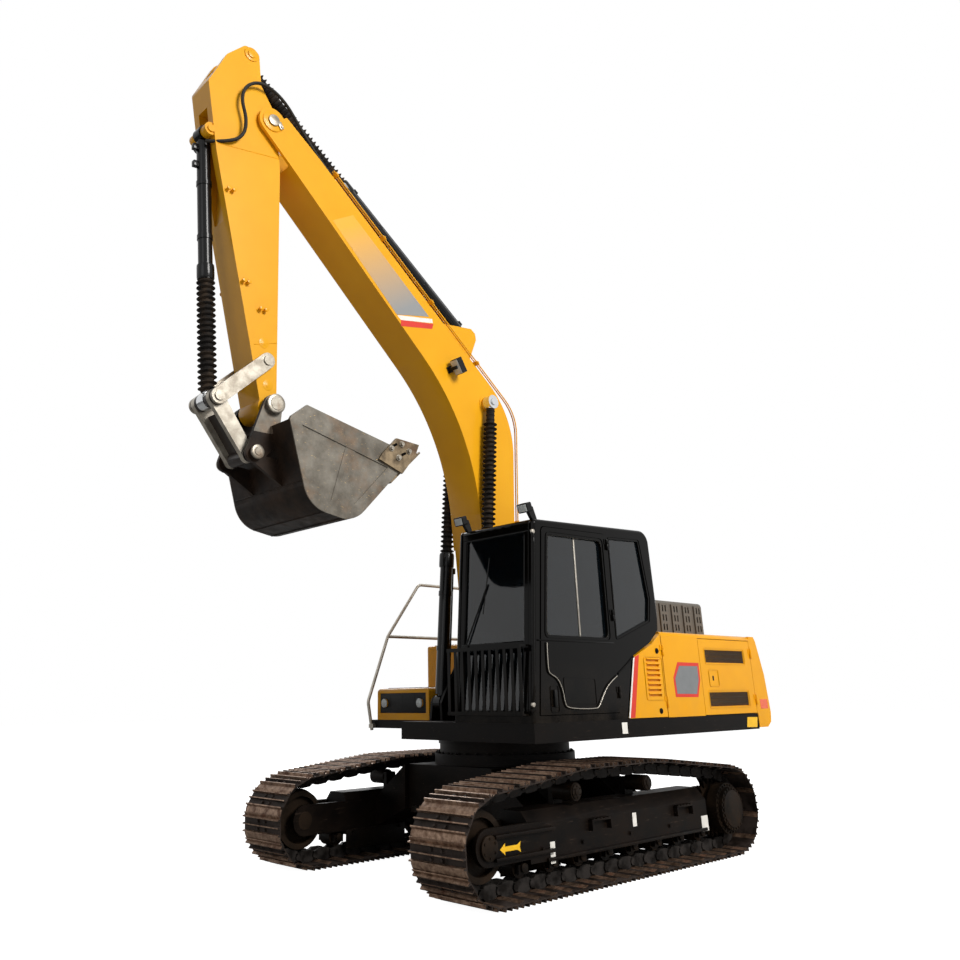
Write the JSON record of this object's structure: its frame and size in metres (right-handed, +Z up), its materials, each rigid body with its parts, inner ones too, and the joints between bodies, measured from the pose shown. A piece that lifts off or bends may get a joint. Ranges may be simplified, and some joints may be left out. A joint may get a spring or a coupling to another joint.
{
  "type": "crawler excavator",
  "caption": "Tracked excavator with a swing upper body, side cab, bent boom, stick and bucket on a closed linkage.",
  "frame": {"origin": "middle of the machine's box, at the bottom of the tracks", "axes": "+X forward along the tracks, +Y to the machine's left, +Z up"},
  "size_m": [6.8211, 2.98, 7.5764],
  "materials": {
    "panel_yellow": "satin paint, weathered",
    "frame_black": "dusty satin paint",
    "cab_black": "gloss paint",
    "cowl_grey": "satin paint",
    "track_steel": "rusted and worn",
    "wheel_steel": "oily and dusty",
    "bare_steel": "worn bright",
    "rod_chrome": "polished",
    "bellows_rubber": "matt",
    "tinted_glass": "tinted",
    "seat_fabric": "woven",
    "lamp_black": "matt"
  },
  "bodies": {
    "undercarriage": {"car_body": "frame_black", "frame_legs": "frame_black", "swing_ring": "wheel_steel", "track_left": "track_steel", "track_right": "track_steel", "track_frame_left": "frame_black", "track_frame_right": "frame_black", "idlers": "wheel_steel", "sprockets": "wheel_steel", "track_rollers": "wheel_steel"},
    "upper": {"turntable": "frame_black", "counterweight": "panel_yellow", "engine": "frame_black", "hood": "panel_yellow", "fuel_tank": "panel_yellow", "hydraulic_tank": "panel_yellow", "tool_box": "frame_black", "handrail": "bare_steel", "cab_floor": "cab_black", "cab_roof": "cab_black", "cab_front_frame": "cab_black", "cab_rear_wall": "cab_black", "cab_left_frame": "cab_black", "cab_right_wall": "cab_black", "cab_glass": "tinted_glass", "operator_seat": "seat_fabric", "front_guard": "cab_black", "roof_lamps": "lamp_black"},
    "louvre_door": {"louvre_door": "panel_yellow"},
    "left_rear_door": {"left_rear_door": "panel_yellow"},
    "right_rear_door": {"right_rear_door": "panel_yellow"},
    "engine_cowl": {"engine_cowl": "cowl_grey"},
    "cab_door": {"cab_door": "cab_black", "door_glass": "tinted_glass"},
    "boom": {"boom": "panel_yellow", "boom_pipes": "panel_yellow", "boom_lamp": "lamp_black"},
    "stick": {"stick": "panel_yellow"},
    "boom_barrels": {"boom_barrels": "panel_yellow"},
    "boom_rods": {"boom_rods": "rod_chrome", "boom_bellows": "bellows_rubber"},
    "stick_barrel": {"stick_barrel": "panel_yellow"},
    "stick_rod": {"stick_rod": "rod_chrome", "stick_bellows": "bellows_rubber"},
    "bucket_barrel": {"bucket_barrel": "panel_yellow"},
    "bucket_rod": {"bucket_rod": "rod_chrome", "bucket_bellows": "bellows_rubber"},
    "rocker": {"rocker": "bare_steel"},
    "bucket_link": {"bucket_link": "bare_steel"},
    "bucket": {"bucket": "frame_black", "bucket_teeth": "bare_steel"}
  },
  "joints": [
    {"name": "swing", "type": "hinge", "parent": "undercarriage", "child": "upper", "pos_m": [-0.45059, 0, 1.085], "axis": [0, 0, 1], "continuous": true},
    {"name": "boom_lift", "type": "hinge", "parent": "upper", "child": "boom", "pos_m": [-0.28559, 0, 1.935], "axis": [0, -1, 0], "range_deg": [-98, 6]},
    {"name": "stick_swing", "type": "hinge", "parent": "boom", "child": "stick", "pos_m": [2.71762, 0, 6.78436], "axis": [0, 1, 0], "range_deg": [-118, 4]},
    {"name": "bucket_curl", "type": "hinge", "parent": "stick", "child": "bucket", "pos_m": [2.56068, 0, 3.86758], "axis": [0, -1, 0], "range_deg": [-50, 115]},
    {"name": "boom_barrels_turn", "type": "hinge", "parent": "upper", "child": "boom_barrels", "pos_m": [0.10941, 0, 1.4], "axis": [0, -1, 0], "range_deg": [-90.36, 5.72]},
    {"name": "boom_rods_slide", "type": "slide", "parent": "boom_barrels", "child": "boom_rods", "axis": [-0.0821, 0, 0.9966], "range_m": [-0.92732, 0.05865], "deforming": ["boom_bellows"]},
    {"name": "stick_barrel_turn", "type": "hinge", "parent": "boom", "child": "stick_barrel", "pos_m": [-0.05015, 0, 5.25909], "axis": [0, -1, 0], "range_deg": [-0.32, 3.74]},
    {"name": "stick_rod_slide", "type": "slide", "parent": "stick_barrel", "child": "stick_rod", "axis": [0.8047, 0, 0.5937], "range_m": [-1.2908, 0.04569], "deforming": ["stick_bellows"]},
    {"name": "rocker_turn", "type": "hinge", "parent": "stick", "child": "rocker", "pos_m": [2.61325, 0, 4.28636], "axis": [0, -1, 0], "range_deg": [-37.2, 85.3]},
    {"name": "bucket_link_turn", "type": "hinge", "parent": "rocker", "child": "bucket_link", "pos_m": [3.06608, 0, 3.86142], "axis": [0, -1, 0], "range_deg": [-53.1, 23.2]},
    {"name": "bucket_barrel_turn", "type": "hinge", "parent": "stick", "child": "bucket_barrel", "pos_m": [3.33059, 0, 6.45094], "axis": [0, -1, 0], "range_deg": [-2.45, 5.38]},
    {"name": "bucket_rod_slide", "type": "slide", "parent": "bucket_barrel", "child": "bucket_rod", "axis": [-0.1016, 0, -0.9948], "range_m": [-0.80666, 0.35185], "deforming": ["bucket_bellows"]},
    {"name": "cab_door_hinge", "type": "hinge", "parent": "upper", "child": "cab_door", "pos_m": [-0.56559, 1.372, 1.9], "axis": [0, 0, 1], "range_deg": [0, 95]},
    {"name": "louvre_door_hinge", "type": "hinge", "parent": "upper", "child": "louvre_door", "pos_m": [-1.32059, 1.372, 1.6], "axis": [0, 0, -1], "range_deg": [-90, 0]},
    {"name": "left_rear_door_hinge", "type": "hinge", "parent": "upper", "child": "left_rear_door", "pos_m": [-3.00759, 1.372, 1.6], "axis": [0, 0, -1], "range_deg": [-90, 0]},
    {"name": "right_rear_door_hinge", "type": "hinge", "parent": "upper", "child": "right_rear_door", "pos_m": [-3.00759, -1.372, 1.6], "axis": [0, 0, 1], "range_deg": [-90, 0]},
    {"name": "engine_cowl_hinge", "type": "hinge", "parent": "upper", "child": "engine_cowl", "pos_m": [-1.96859, 0.2, 2.042], "axis": [0, 1, 0], "range_deg": [0, 60]}
  ],
  "couplings": [
    {"joint": "boom_barrels_turn", "follows": "boom_lift", "ratio": 0.92},
    {"joint": "boom_rods_slide", "follows": "boom_lift", "m_per_rad": 0.54099},
    {"joint": "stick_barrel_turn", "follows": "stick_swing", "ratio": -0.03},
    {"joint": "stick_rod_slide", "follows": "stick_swing", "m_per_rad": 0.62579},
    {"joint": "rocker_turn", "follows": "bucket_curl", "ratio": 0.74},
    {"joint": "bucket_link_turn", "follows": "bucket_curl", "ratio": -0.46},
    {"joint": "bucket_barrel_turn", "follows": "bucket_curl", "ratio": 0.045},
    {"joint": "bucket_rod_slide", "follows": "bucket_curl", "m_per_rad": -0.4009}
  ]
}
